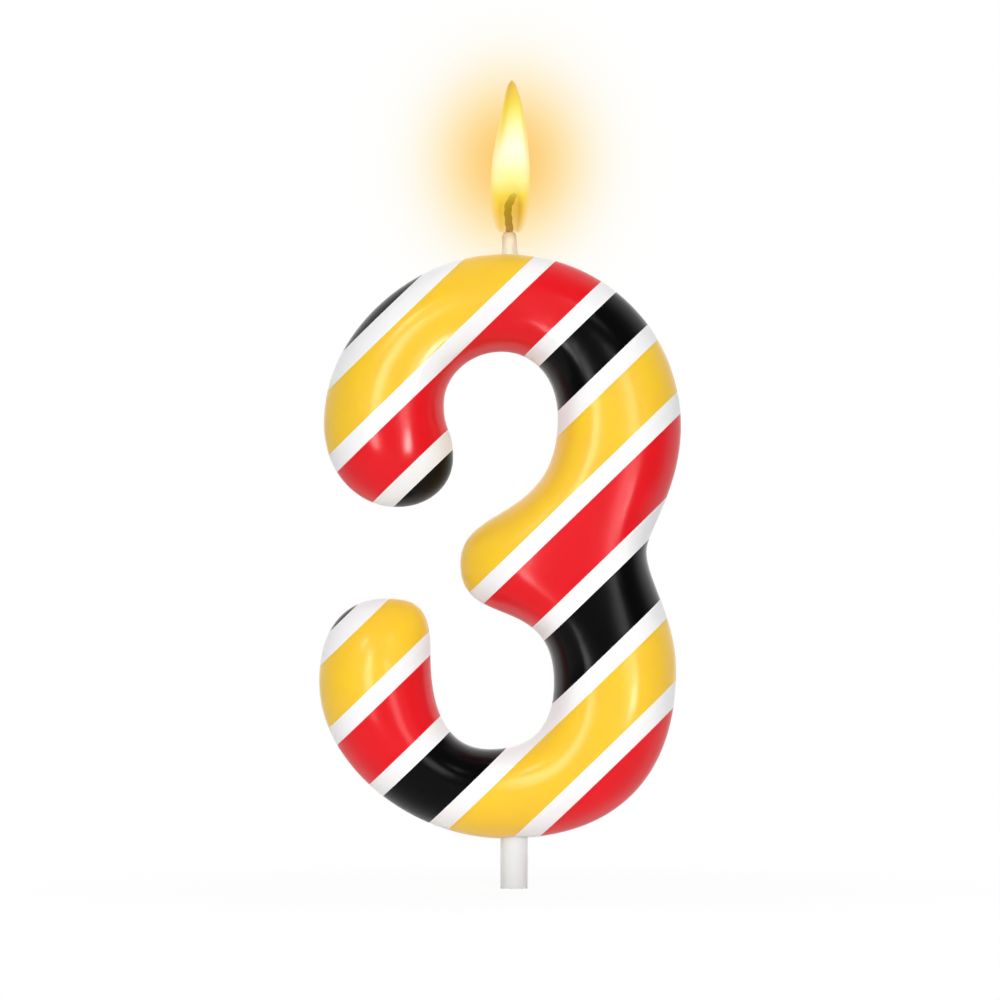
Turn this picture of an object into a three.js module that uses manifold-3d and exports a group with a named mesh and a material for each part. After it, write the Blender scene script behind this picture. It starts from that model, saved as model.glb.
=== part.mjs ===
// A number candle: a puffy moulded wax 3 with coloured slanting stripes, on a hollow plastic stick,
// with a waxed wick and its flame. Millimetres, +Z up, the front faces -Y.
// The origin is the centre of the stick's lower end, where it goes down into the cake.
import * as THREE from 'three';
import { mergeVertices } from 'three/addons/utils/BufferGeometryUtils.js';
import Module from 'manifold-3d';

const wasm = await Module();
wasm.setup();

// Bowls of the 3, measured from the foot of the digit up and from the stick's axis out.
const LOWER_BOWL_HEIGHT = 36.8;
const UPPER_BOWL_HEIGHT = 38.2;
const LOWER_BOWL_WIDTH = 45.8;
const UPPER_BOWL_WIDTH = 45.8;
const LOWER_BOWL_RIGHT = 20.8;
const UPPER_BOWL_RIGHT = 21.4;
const WAIST_DEPTH = 3.8;

// How far right of the middle of its bowl each highest or lowest point of the outline lies.
const TOP_OFFSET = 0.2;
const FOOT_OFFSET = 0.9;
const UPPER_COUNTER_OFFSET = -0.1;
const LOWER_COUNTER_OFFSET = -1.0;

// Strokes of the 3.
const TOP_STROKE = 12.6;
const BOTTOM_STROKE = 11.5;
const UPPER_RIGHT_STROKE = 15.8;
const LOWER_RIGHT_STROKE = 15.7;
const UPPER_TERMINAL_WIDTH = 16.6;
const UPPER_NECK_WIDTH = 15.4;
const LOWER_TERMINAL_WIDTH = 14.3;
const ARM_LENGTH = 23.9;
const ARM_DROP = 1.6;
const UPPER_TERMINAL_RISE = 5.7;
const LOWER_TERMINAL_DROP = 6.0;

// Cross-section of a stroke.
const DIGIT_THICKNESS = 14.0;
const FULL_THICKNESS_STROKE = 14.0;
const SECTION_ROUNDNESS = 0.88;

// Stripes. They are set out square to their run, from the top left corner of the digit's outer size.
const STRIPE_RISE_DEG = 44;
const STRIPE_GAP = 2.28;
const STRIPE_DEPTH = 0.4;
const STRIPE_CLEARANCE = 0.15;
const FIRST_STRIPE_DISTANCE = 13.04;
const FIRST_YELLOW_WIDTH = 6.05;
const FIRST_RED_WIDTH = 5.95;
const FIRST_BLACK_WIDTH = 5.8;
const SECOND_YELLOW_WIDTH = 6.55;
const SECOND_RED_WIDTH = 6.5;
const SECOND_BLACK_WIDTH = 6.55;
const THIRD_YELLOW_WIDTH = 6.55;

// The stripes from the top left to the bottom right. A parted stripe is always two pieces at the lower
// counter, one on each side of it.
const STRIPES = [
  { colour: 'yellow', width: FIRST_YELLOW_WIDTH },
  { colour: 'red', width: FIRST_RED_WIDTH },
  { colour: 'black', width: FIRST_BLACK_WIDTH },
  { colour: 'yellow', width: SECOND_YELLOW_WIDTH },
  { colour: 'red', width: SECOND_RED_WIDTH },
  { colour: 'black', width: SECOND_BLACK_WIDTH, parted: true },
  { colour: 'yellow', width: THIRD_YELLOW_WIDTH },
];

// Stick, a plain drinking-straw kind of tube.
const STICK_DIAMETER = 3.5;
const STICK_WALL = 0.45;
const STICK_SHOWN = 6.4;
const STICK_SET_DEPTH = 8.5;
const SOCKET_CLEARANCE = 0.25;

// Wick and its wax coat.
const WICK_DIAMETER = 1.1;
const WICK_LEFT_OF_STICK = 0.6;
const WICK_SET_DEPTH = 9.0;
const WICK_SHOWN = 7.7;
const WICK_BEND_HEIGHT = 2.9;
const WICK_BEND_REACH = 0.7;
const WICK_CLEARANCE = 0.15;
const COAT_DIAMETER = 2.0;
const COAT_SHOWN = 2.3;
const COAT_CLEARANCE = 0.2;

// Flame.
const FLAME_DIAMETER = 5.1;
const FLAME_HEIGHT = 19.7;
const FLAME_CLEARANCE = 0.3;

// Fineness of the round surfaces.
const RING_SIDES = 16;
const RUNGS_PER_RUN = 7;
const TUBE_SIDES = 24;
const WICK_SIDES = 8;
const WICK_STEPS = 12;
const FLAME_SIDES = 16;
const FLAME_STEPS = 6;
const SEAM_STEPS = 40;

// How far a cutting shape runs past what it cuts.
const CUT_MARGIN = 5;

const digitHeight = LOWER_BOWL_HEIGHT + UPPER_BOWL_HEIGHT;
const stripeAngle = THREE.MathUtils.degToRad(STRIPE_RISE_DEG);
const wickX = -WICK_LEFT_OF_STICK;

const COLOURS = {
  white: 0xf6f4ee,
  yellow: 0xfdcd2d,
  red: 0xed212a,
  black: 0x0b0a0c,
};

const WAX_FINISH = { roughness: 0.28, metalness: 0 };

// Solids for cutting and joining.

function toSolid(geometry) {
  const bare = geometry.clone();
  bare.deleteAttribute('normal');
  bare.deleteAttribute('uv');
  const merged = mergeVertices(bare);
  const mesh = new wasm.Mesh({
    numProp: 3,
    vertProperties: new Float32Array(merged.attributes.position.array),
    triVerts: new Uint32Array(merged.index.array),
  });
  return new wasm.Manifold(mesh);
}

function toGeometry(solid) {
  const mesh = solid.getMesh();
  const geometry = new THREE.BufferGeometry();
  geometry.setAttribute('position', new THREE.BufferAttribute(mesh.vertProperties, 3));
  geometry.setIndex(new THREE.BufferAttribute(mesh.triVerts, 1));
  geometry.computeVertexNormals();
  return geometry;
}

// Outline of the 3, seen from the front, clockwise from the top. Each point is where the outline runs
// level or upright. leave and arrive say how far the curve to the next point keeps to those directions,
// as a share of the distance that it covers that way.

function outlinePoints() {
  const left = LOWER_BOWL_RIGHT - LOWER_BOWL_WIDTH;
  const upperLeft = UPPER_BOWL_RIGHT - UPPER_BOWL_WIDTH;
  const upperMiddle = UPPER_BOWL_RIGHT - UPPER_BOWL_WIDTH / 2;
  const lowerMiddle = LOWER_BOWL_RIGHT - LOWER_BOWL_WIDTH / 2;
  const waist = LOWER_BOWL_RIGHT - WAIST_DEPTH;
  const above = (share) => LOWER_BOWL_HEIGHT + share * UPPER_BOWL_HEIGHT;
  const below = (share) => share * LOWER_BOWL_HEIGHT;
  const upperTipX = upperLeft + 0.57 * UPPER_TERMINAL_WIDTH;
  const lowerTipX = left + 0.61 * LOWER_TERMINAL_WIDTH;
  return {
    top: { x: upperMiddle + TOP_OFFSET, z: digitHeight, heading: 'right', leave: 0.555, arrive: 0.566 },
    upperRight: { x: UPPER_BOWL_RIGHT, z: above(0.42), heading: 'down', leave: 0.5, arrive: 0.17 },
    waist: { x: waist, z: LOWER_BOWL_HEIGHT, heading: 'down', leave: 0.24, arrive: 0.43 },
    lowerRight: { x: LOWER_BOWL_RIGHT, z: below(0.59), heading: 'down', leave: 0.6, arrive: 0.69 },
    foot: { x: lowerMiddle + FOOT_OFFSET, z: 0, heading: 'left', leave: 0.515, arrive: 0.515 },
    lowerLeft: { x: left, z: below(0.545), heading: 'up', leave: 0.64, arrive: 0.63 },
    lowerTip: {
      x: lowerTipX, z: LOWER_BOWL_HEIGHT - LOWER_TERMINAL_DROP, heading: 'right', leave: 0.8, arrive: 0.75,
    },
    lowerNeck: { x: left + LOWER_TERMINAL_WIDTH, z: below(0.64), heading: 'down', leave: 0.67, arrive: 0.65 },
    lowerCounterFloor: {
      x: lowerMiddle + LOWER_COUNTER_OFFSET, z: BOTTOM_STROKE, heading: 'right', leave: 0.59, arrive: 0.74,
    },
    lowerCounterRight: {
      x: LOWER_BOWL_RIGHT - LOWER_RIGHT_STROKE, z: below(0.543), heading: 'up', leave: 0.78, arrive: 0.57,
    },
    armTip: {
      x: waist - ARM_LENGTH, z: LOWER_BOWL_HEIGHT - ARM_DROP, heading: 'up', leave: 0.42, arrive: 0.72,
    },
    upperCounterRight: {
      x: UPPER_BOWL_RIGHT - UPPER_RIGHT_STROKE, z: above(0.448), heading: 'up', leave: 0.6, arrive: 0.57,
    },
    upperCounterTop: {
      x: upperMiddle + UPPER_COUNTER_OFFSET,
      z: digitHeight - TOP_STROKE,
      heading: 'left',
      leave: 0.55,
      arrive: 0.54,
    },
    upperCounterLeft: {
      x: upperLeft + UPPER_NECK_WIDTH, z: above(0.493), heading: 'down', leave: 0.505, arrive: 0.54,
    },
    upperNeck: {
      x: upperLeft + UPPER_TERMINAL_WIDTH, z: above(0.314), heading: 'down', leave: 0.57, arrive: 0.57,
    },
    upperTip: {
      x: upperTipX, z: LOWER_BOWL_HEIGHT + UPPER_TERMINAL_RISE, heading: 'left', leave: 0.55, arrive: 0.585,
    },
    upperLeft: { x: upperLeft, z: above(0.43), heading: 'up', leave: 0.54, arrive: 0.5 },
  };
}

const HEADINGS = {
  right: new THREE.Vector2(1, 0),
  left: new THREE.Vector2(-1, 0),
  up: new THREE.Vector2(0, 1),
  down: new THREE.Vector2(0, -1),
};

// The curve from one outline point to the next, by the name of the point where it starts.
function outlineRuns() {
  const points = outlinePoints();
  const names = Object.keys(points);
  const runs = {};
  names.forEach((name, i) => {
    const a = points[name];
    const b = points[names[(i + 1) % names.length]];
    const start = new THREE.Vector2(a.x, a.z);
    const end = new THREE.Vector2(b.x, b.z);
    const covered = end.clone().sub(start);
    const leave = HEADINGS[a.heading];
    const arrive = HEADINGS[b.heading];
    const reachOut = a.leave * Math.abs(covered.dot(leave));
    const reachIn = a.arrive * Math.abs(covered.dot(arrive));
    const control1 = start.clone().addScaledVector(leave, reachOut);
    const control2 = end.clone().addScaledVector(arrive, -reachIn);
    runs[name] = new THREE.CubicBezierCurve(start, control1, control2, end);
  });
  return runs;
}

// Stretches of the stroke from the upper end to the lower one: the outer run of the outline, and the
// inner runs across from it, which the outline passes the other way round.
const STRETCHES = [
  { outer: 'upperTip', inner: ['upperNeck', 'upperCounterLeft'] },
  { outer: 'upperLeft', inner: ['upperCounterTop'] },
  { outer: 'top', inner: ['upperCounterRight'] },
  { outer: 'upperRight', inner: ['armTip'] },
  { outer: 'waist', inner: ['lowerCounterRight'] },
  { outer: 'lowerRight', inner: ['lowerCounterFloor'] },
  { outer: 'foot', inner: ['lowerNeck'] },
  { outer: 'lowerLeft', inner: ['lowerTip'] },
];

// A point on a run, moved into the wax by inset. The wax lies to the right of the run's direction.
function pointInside(run, t, inset) {
  const point = run.getPoint(t);
  const along = run.getTangent(t);
  return point.addScaledVector(new THREE.Vector2(along.y, -along.x), inset);
}

// Rungs across the stroke, from the outer edge to the inner one.
function rungs(inset) {
  const runs = outlineRuns();
  const list = [];
  STRETCHES.forEach((stretch, s) => {
    for (let i = s === 0 ? 0 : 1; i <= RUNGS_PER_RUN; i += 1) {
      const t = i / RUNGS_PER_RUN;
      const part = Math.min(Math.floor(t * stretch.inner.length), stretch.inner.length - 1);
      const innerRun = runs[stretch.inner[part]];
      const innerT = t * stretch.inner.length - part;
      list.push({
        outer: pointInside(runs[stretch.outer], t, inset),
        inner: pointInside(innerRun, 1 - innerT, inset),
      });
    }
  });
  return list;
}

// Half the thickness of the wax in the middle of a rung: less near the rounded ends of the stroke.
function halfThickness(rungLength, inset) {
  const share = Math.min(rungLength / (FULL_THICKNESS_STROKE - 2 * inset), 1);
  return (DIGIT_THICKNESS / 2 - inset) * Math.sin((share * Math.PI) / 2);
}

// The puffy 3: a ring round each rung, with a single point at each end of the stroke.
function puffyDigit(inset) {
  const ladder = rungs(inset);
  const first = ladder[0].outer;
  const last = ladder[ladder.length - 1].outer;
  const vertices = [first.x, 0, first.y];
  const middleRungs = ladder.slice(1, -1);
  middleRungs.forEach(({ outer, inner }) => {
    const half = halfThickness(outer.distanceTo(inner), inset);
    for (let side = 0; side < RING_SIDES; side += 1) {
      const angle = (side / RING_SIDES) * 2 * Math.PI;
      const across = (1 - Math.cos(angle)) / 2;
      const rise = Math.sign(Math.sin(angle)) * Math.abs(Math.sin(angle)) ** SECTION_ROUNDNESS;
      const point = outer.clone().lerp(inner, across);
      vertices.push(point.x, -half * rise, point.y);
    }
  });
  vertices.push(last.x, 0, last.y);
  const endIndex = vertices.length / 3 - 1;
  const ringStart = (ring) => 1 + ring * RING_SIDES;
  const triangles = [];
  for (let side = 0; side < RING_SIDES; side += 1) {
    const next = (side + 1) % RING_SIDES;
    const lastRing = ringStart(middleRungs.length - 1);
    triangles.push(0, ringStart(0) + next, ringStart(0) + side);
    triangles.push(endIndex, lastRing + side, lastRing + next);
    for (let ring = 0; ring + 1 < middleRungs.length; ring += 1) {
      const a = ringStart(ring) + side;
      const b = ringStart(ring) + next;
      const c = ringStart(ring + 1) + next;
      const d = ringStart(ring + 1) + side;
      triangles.push(a, b, c, a, c, d);
    }
  }
  const geometry = new THREE.BufferGeometry();
  geometry.setAttribute('position', new THREE.BufferAttribute(new Float32Array(vertices), 3));
  geometry.setIndex(triangles);
  return toSolid(geometry);
}

// The corner that the stripes are set out from.
const stripeOrigin = new THREE.Vector2(UPPER_BOWL_RIGHT - UPPER_BOWL_WIDTH, digitHeight);

// A box between two distances square to the stripes and two distances along them.
function stripeBlock(squareFrom, squareTo, alongFrom, alongTo) {
  const geometry = new THREE.BoxGeometry(
    squareTo - squareFrom, DIGIT_THICKNESS + 2 * CUT_MARGIN, alongTo - alongFrom,
  );
  geometry.translate((squareFrom + squareTo) / 2, 0, (alongFrom + alongTo) / 2);
  geometry.rotateY(Math.PI / 2 - stripeAngle);
  geometry.translate(stripeOrigin.x, 0, stripeOrigin.y);
  return toSolid(geometry);
}

function slab(from, to) {
  const reach = digitHeight + UPPER_BOWL_WIDTH + LOWER_BOWL_WIDTH;
  return stripeBlock(from, to, -reach, reach);
}

// All the stripes, with the leftover corner before the first one and after the last one.
function stripeBands() {
  let from = FIRST_STRIPE_DISTANCE;
  const bands = [{ colour: 'black', from: -digitHeight, to: from - STRIPE_GAP }];
  STRIPES.forEach(({ colour, width, parted }) => {
    bands.push({ colour, from, to: from + width, parted });
    from += width + STRIPE_GAP;
  });
  bands.push({ colour: 'red', from, to: from + digitHeight });
  return bands;
}

// The seam that keeps a parted stripe in two pieces: it runs square to the stripes, from the inside of the
// lower counter, through the corner of the counter that lies furthest that way.
function partingSeam() {
  const run = outlineRuns().lowerCounterFloor;
  const corner = run.getPoints(SEAM_STEPS)
    .map((point) => point.sub(stripeOrigin).rotateAround(new THREE.Vector2(), Math.PI / 2 - stripeAngle))
    .reduce((best, point) => (point.x > best.x ? point : best));
  const half = STRIPE_CLEARANCE / 2;
  return stripeBlock(corner.x - CUT_MARGIN, 2 * digitHeight, corner.y - half, corner.y + half);
}

function wickBore() {
  const geometry = new THREE.CylinderGeometry(
    COAT_DIAMETER / 2 + COAT_CLEARANCE, COAT_DIAMETER / 2 + COAT_CLEARANCE,
    WICK_SET_DEPTH + COAT_CLEARANCE + CUT_MARGIN, TUBE_SIDES,
  );
  geometry.rotateX(Math.PI / 2);
  geometry.translate(wickX, 0, digitHeight + (CUT_MARGIN - WICK_SET_DEPTH - COAT_CLEARANCE) / 2);
  return toSolid(geometry);
}

function stickSocket() {
  const radius = STICK_DIAMETER / 2 + SOCKET_CLEARANCE;
  const geometry = new THREE.CylinderGeometry(
    radius, radius, STICK_SET_DEPTH + SOCKET_CLEARANCE + CUT_MARGIN, TUBE_SIDES,
  );
  geometry.rotateX(Math.PI / 2);
  geometry.translate(0, 0, (STICK_SET_DEPTH + SOCKET_CLEARANCE - CUT_MARGIN) / 2);
  return toSolid(geometry);
}

function namedMesh(name, geometry, material) {
  const mesh = new THREE.Mesh(geometry, new THREE.MeshStandardMaterial(material));
  mesh.name = name;
  return mesh;
}

// White wax body, with a shallow recess for each stripe, a bore for the wick and a socket for the stick.
// White wax beyond a stripe that is too shallow to reach the body is a piece of its own.
function waxMeshes(digit, bands, bores) {
  const core = puffyDigit(STRIPE_DEPTH + STRIPE_CLEARANCE);
  let body = digit;
  bands.forEach(({ from, to }) => {
    body = body.subtract(slab(from - STRIPE_CLEARANCE, to + STRIPE_CLEARANCE));
  });
  body = body.add(core);
  bores.forEach((bore) => {
    body = body.subtract(bore);
  });
  const pieces = body.decompose().sort((a, b) => b.volume() - a.volume());
  return pieces.map((piece, i) => {
    const name = i === 0 ? 'wax_body' : `wax_corner_${i}`;
    return namedMesh(name, toGeometry(piece), { color: COLOURS.white, ...WAX_FINISH });
  });
}

const PLACE_WORDS = { 1: [''], 2: ['_left', '_right'], 3: ['_left', '_middle', '_right'] };

// Coloured wax laid in the recesses. A stripe that crosses several strokes is one piece on each stroke.
function stripeMeshes(digit, bands, bores) {
  const shell = digit.subtract(puffyDigit(STRIPE_DEPTH));
  const meshes = [];
  bands.forEach(({ colour, from, to, parted }, index) => {
    let stripe = shell.intersect(slab(from, to));
    if (parted) {
      stripe = stripe.subtract(partingSeam());
    }
    bores.forEach((bore) => {
      stripe = stripe.subtract(bore);
    });
    const pieces = stripe.decompose();
    const middle = (piece) => (piece.boundingBox().min[0] + piece.boundingBox().max[0]) / 2;
    pieces.sort((a, b) => middle(a) - middle(b));
    const words = PLACE_WORDS[pieces.length] ?? pieces.map((piece, i) => `_${i + 1}`);
    pieces.forEach((piece, i) => {
      const name = `stripe_${index + 1}_${colour}${words[i]}`;
      meshes.push(namedMesh(name, toGeometry(piece), { color: COLOURS[colour], ...WAX_FINISH }));
    });
  });
  return meshes;
}

function ringTube(outerRadius, innerRadius, bottom, top, sides) {
  const profile = [
    new THREE.Vector2(innerRadius, bottom),
    new THREE.Vector2(outerRadius, bottom),
    new THREE.Vector2(outerRadius, top),
    new THREE.Vector2(innerRadius, top),
    new THREE.Vector2(innerRadius, bottom),
  ];
  const geometry = new THREE.LatheGeometry(profile, sides);
  geometry.rotateX(Math.PI / 2);
  return geometry;
}

function wickMesh() {
  const bottom = digitHeight - WICK_SET_DEPTH;
  const top = digitHeight + WICK_SHOWN;
  const bendStart = new THREE.Vector3(wickX, 0, top - WICK_BEND_HEIGHT);
  const path = new THREE.CurvePath();
  path.add(new THREE.LineCurve3(new THREE.Vector3(wickX, 0, bottom), bendStart));
  path.add(new THREE.QuadraticBezierCurve3(
    bendStart,
    new THREE.Vector3(wickX, 0, top - WICK_BEND_HEIGHT / 2),
    new THREE.Vector3(wickX + WICK_BEND_REACH, 0, top),
  ));
  const section = new THREE.Shape();
  section.absarc(0, 0, WICK_DIAMETER / 2, 0, 2 * Math.PI);
  const geometry = new THREE.ExtrudeGeometry(section, {
    steps: WICK_STEPS, extrudePath: path, curveSegments: WICK_SIDES / 2,
  });
  return namedMesh('wick', geometry, { color: 0x4a3626, roughness: 0.95, metalness: 0 });
}

function wickCoatMesh() {
  const innerRadius = WICK_DIAMETER / 2 + WICK_CLEARANCE;
  const geometry = ringTube(
    COAT_DIAMETER / 2, innerRadius, digitHeight - WICK_SET_DEPTH, digitHeight + COAT_SHOWN, WICK_SIDES * 2,
  );
  geometry.translate(wickX, 0, 0);
  return namedMesh('wick_wax_coat', geometry, { color: COLOURS.white, ...WAX_FINISH });
}

function stickMesh() {
  const radius = STICK_DIAMETER / 2;
  const geometry = ringTube(radius, radius - STICK_WALL, -STICK_SHOWN, STICK_SET_DEPTH, TUBE_SIDES);
  return namedMesh('stick', geometry, { color: 0xeeeeee, roughness: 0.35, metalness: 0 });
}

// The flame is a pointed drop round the wick, open underneath. Its profile runs from the top of the
// hollow round the wick down to the base, and up outside to the tip.
function flameMesh() {
  const base = COAT_SHOWN + FLAME_CLEARANCE;
  const radius = FLAME_DIAMETER / 2;
  const mouthRadius = WICK_DIAMETER / 2 + FLAME_CLEARANCE;
  const hollowRadius = mouthRadius + WICK_BEND_REACH;
  const hollowTop = WICK_SHOWN + FLAME_CLEARANCE;
  const widest = base + 0.27 * FLAME_HEIGHT;
  const lobe = new THREE.CubicBezierCurve(
    new THREE.Vector2(mouthRadius + 0.35 * radius, base),
    new THREE.Vector2(0.85 * radius, base + 0.04 * FLAME_HEIGHT),
    new THREE.Vector2(radius, base + 0.15 * FLAME_HEIGHT),
    new THREE.Vector2(radius, widest),
  );
  const taper = new THREE.CubicBezierCurve(
    new THREE.Vector2(radius, widest),
    new THREE.Vector2(radius, base + 0.55 * FLAME_HEIGHT),
    new THREE.Vector2(0.53 * radius, base + 0.82 * FLAME_HEIGHT),
    new THREE.Vector2(0, base + FLAME_HEIGHT),
  );
  const profile = [
    new THREE.Vector2(0, hollowTop + FLAME_CLEARANCE),
    new THREE.Vector2(hollowRadius - FLAME_CLEARANCE, hollowTop),
    new THREE.Vector2(hollowRadius, hollowTop - FLAME_CLEARANCE),
    new THREE.Vector2(hollowRadius, WICK_SHOWN - WICK_BEND_HEIGHT),
    new THREE.Vector2(mouthRadius, base),
    ...lobe.getPoints(FLAME_STEPS),
    ...taper.getPoints(FLAME_STEPS).slice(1),
  ];
  const geometry = new THREE.LatheGeometry(profile, FLAME_SIDES);
  geometry.rotateX(Math.PI / 2);
  geometry.translate(wickX, 0, digitHeight);
  return namedMesh('flame', geometry, { color: 0xffc24a, roughness: 1, metalness: 0 });
}

const digit = puffyDigit(0);
const bands = stripeBands();
const bores = [wickBore(), stickSocket()];

const candle = new THREE.Group();
candle.add(...waxMeshes(digit, bands, bores));
candle.add(...stripeMeshes(digit, bands, bores));
candle.add(wickMesh(), wickCoatMesh(), stickMesh(), flameMesh());
candle.position.z = STICK_SHOWN;

const numberCandle = new THREE.Group();
numberCandle.add(candle);

export default numberCandle;
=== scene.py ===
import math

import bmesh
import bpy
import numpy as np
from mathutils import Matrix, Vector


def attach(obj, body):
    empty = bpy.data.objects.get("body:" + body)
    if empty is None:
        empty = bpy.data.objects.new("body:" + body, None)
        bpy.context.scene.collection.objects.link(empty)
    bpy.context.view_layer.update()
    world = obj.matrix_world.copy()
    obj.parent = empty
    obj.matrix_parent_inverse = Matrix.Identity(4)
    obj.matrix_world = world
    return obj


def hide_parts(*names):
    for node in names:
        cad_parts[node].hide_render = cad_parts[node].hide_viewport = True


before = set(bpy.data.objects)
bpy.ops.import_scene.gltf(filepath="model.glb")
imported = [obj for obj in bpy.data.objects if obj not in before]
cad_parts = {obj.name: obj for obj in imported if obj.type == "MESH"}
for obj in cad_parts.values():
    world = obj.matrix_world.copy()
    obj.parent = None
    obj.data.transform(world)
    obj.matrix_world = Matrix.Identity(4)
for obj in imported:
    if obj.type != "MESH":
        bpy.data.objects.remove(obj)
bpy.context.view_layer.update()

MM = 0.001

# Sizes of the digit, the same as the solid model's.
LOWER_BOWL_HEIGHT = 36.8
UPPER_BOWL_HEIGHT = 38.2
LOWER_BOWL_WIDTH = 45.8
UPPER_BOWL_WIDTH = 45.8
LOWER_BOWL_RIGHT = 20.8
UPPER_BOWL_RIGHT = 21.4
WAIST_DEPTH = 3.8
TOP_OFFSET = 0.2
FOOT_OFFSET = 0.9
UPPER_COUNTER_OFFSET = -0.1
LOWER_COUNTER_OFFSET = -1.0
TOP_STROKE = 12.6
BOTTOM_STROKE = 11.5
UPPER_RIGHT_STROKE = 15.8
LOWER_RIGHT_STROKE = 15.7
UPPER_TERMINAL_WIDTH = 16.6
UPPER_NECK_WIDTH = 15.4
LOWER_TERMINAL_WIDTH = 14.3
ARM_LENGTH = 23.9
ARM_DROP = 1.6
UPPER_TERMINAL_RISE = 5.7
LOWER_TERMINAL_DROP = 6.0
UPPER_TIP_SHARE = 0.57
LOWER_TIP_SHARE = 0.61
DIGIT_HEIGHT = LOWER_BOWL_HEIGHT + UPPER_BOWL_HEIGHT
STICK_SHOWN = 6.4
STICK_RADIUS = 1.75
STICK_WALL = 0.45
STICK_TOP = 14.9
SOCKET_RADIUS = 2.0
SOCKET_TOP = 15.15
SOCKET_SIDES = 32

# Stripes, set out square to their run from the digit's top left corner.
STRIPE_RISE = math.radians(44)
STRIPE_GAP = 2.28
FIRST_STRIPE = 13.04
STRIPE_WIDTHS = [6.05, 5.95, 5.8, 6.55, 6.5, 6.55, 6.55]
STRIPE_COLOURS = ["black", "yellow", "red", "black", "yellow", "red", "black", "yellow", "red"]
STRIPE_ORIGIN = (UPPER_BOWL_RIGHT - UPPER_BOWL_WIDTH, DIGIT_HEIGHT)
STRIPE_SKIN = 0.35
CORE_INSET = 0.38

# The swelling of the wax: the most it rises from the middle plane, and how sharply it levels off.
SWELL = 7.05
SWELL_POWER = 8

# The skin's mesh: steps along each stretch of the stroke, and steps across it.
RUNGS = 56
COLUMNS = 36

# What counts as nothing, in millimetres: the distance of two points, an edge, a rise and an area.
SAME_POINT = 1e-4
NO_EDGE = 1e-5
NO_RISE = 1e-6
NO_AREA = 1e-7

# The film is worked out to this share of its first energy, or in this many steps.
FILM_PRECISION = 1e-10
FILM_STEPS = 6000

# How far above the foot the socket's mouth can reach, and how far past its corners it is cut.
MOUTH_REACH = 4.0
MOUTH_MARGIN = 0.05

RIGHT, LEFT, UP, DOWN = (1, 0), (-1, 0), (0, 1), (0, -1)


def outline_points():
    """The outline's knots: the name of the run that starts there, x, z, the way the outline heads
    there, and how far the run keeps to its first and last heading, as shares of the way covered."""
    left = LOWER_BOWL_RIGHT - LOWER_BOWL_WIDTH
    upper_left = UPPER_BOWL_RIGHT - UPPER_BOWL_WIDTH
    upper_middle = UPPER_BOWL_RIGHT - UPPER_BOWL_WIDTH / 2
    lower_middle = LOWER_BOWL_RIGHT - LOWER_BOWL_WIDTH / 2
    waist = LOWER_BOWL_RIGHT - WAIST_DEPTH

    def above(share):
        return LOWER_BOWL_HEIGHT + share * UPPER_BOWL_HEIGHT

    def below(share):
        return share * LOWER_BOWL_HEIGHT

    return [
        ("top", upper_middle + TOP_OFFSET, DIGIT_HEIGHT, RIGHT, 0.555, 0.566),
        ("upper_right", UPPER_BOWL_RIGHT, above(0.42), DOWN, 0.5, 0.17),
        ("waist", waist, LOWER_BOWL_HEIGHT, DOWN, 0.24, 0.43),
        ("lower_right", LOWER_BOWL_RIGHT, below(0.59), DOWN, 0.6, 0.69),
        ("foot", lower_middle + FOOT_OFFSET, 0.0, LEFT, 0.515, 0.515),
        ("lower_left", left, below(0.545), UP, 0.64, 0.63),
        ("lower_tip", left + LOWER_TIP_SHARE * LOWER_TERMINAL_WIDTH,
         LOWER_BOWL_HEIGHT - LOWER_TERMINAL_DROP, RIGHT, 0.8, 0.75),
        ("lower_neck", left + LOWER_TERMINAL_WIDTH, below(0.64), DOWN, 0.67, 0.65),
        ("lower_counter_floor", lower_middle + LOWER_COUNTER_OFFSET,
         BOTTOM_STROKE, RIGHT, 0.59, 0.74),
        ("lower_counter_right", LOWER_BOWL_RIGHT - LOWER_RIGHT_STROKE,
         below(0.543), UP, 0.78, 0.57),
        ("arm_tip", waist - ARM_LENGTH, LOWER_BOWL_HEIGHT - ARM_DROP, UP, 0.42, 0.72),
        ("upper_counter_right", UPPER_BOWL_RIGHT - UPPER_RIGHT_STROKE, above(0.448), UP, 0.6, 0.57),
        ("upper_counter_top", upper_middle + UPPER_COUNTER_OFFSET,
         DIGIT_HEIGHT - TOP_STROKE, LEFT, 0.55, 0.54),
        ("upper_counter_left", upper_left + UPPER_NECK_WIDTH, above(0.493), DOWN, 0.505, 0.54),
        ("upper_neck", upper_left + UPPER_TERMINAL_WIDTH, above(0.314), DOWN, 0.57, 0.57),
        ("upper_tip", upper_left + UPPER_TIP_SHARE * UPPER_TERMINAL_WIDTH,
         LOWER_BOWL_HEIGHT + UPPER_TERMINAL_RISE, LEFT, 0.55, 0.585),
        ("upper_left", upper_left, above(0.43), UP, 0.54, 0.5),
    ]


def outline_runs():
    """The outline as curves, by name: each has its two ends and the two points that bend it."""
    points = outline_points()
    runs = {}
    for i, (name, x, z, heading, leave, arrive) in enumerate(points):
        _, x2, z2, heading2, _, _ = points[(i + 1) % len(points)]
        start, end = np.array([x, z]), np.array([x2, z2])
        out, into = np.array(heading, float), np.array(heading2, float)
        covered = end - start
        first = start + out * leave * abs(covered @ out)
        second = end - into * arrive * abs(covered @ into)
        runs[name] = (start, first, second, end)
    return runs


def on_run(run, t):
    """Points on a run, at shares of it."""
    a, b, c, d = run
    t = np.asarray(t)[:, None]
    return a * (1 - t) ** 3 + 3 * b * t * (1 - t) ** 2 + 3 * c * t * t * (1 - t) + d * t ** 3


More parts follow.
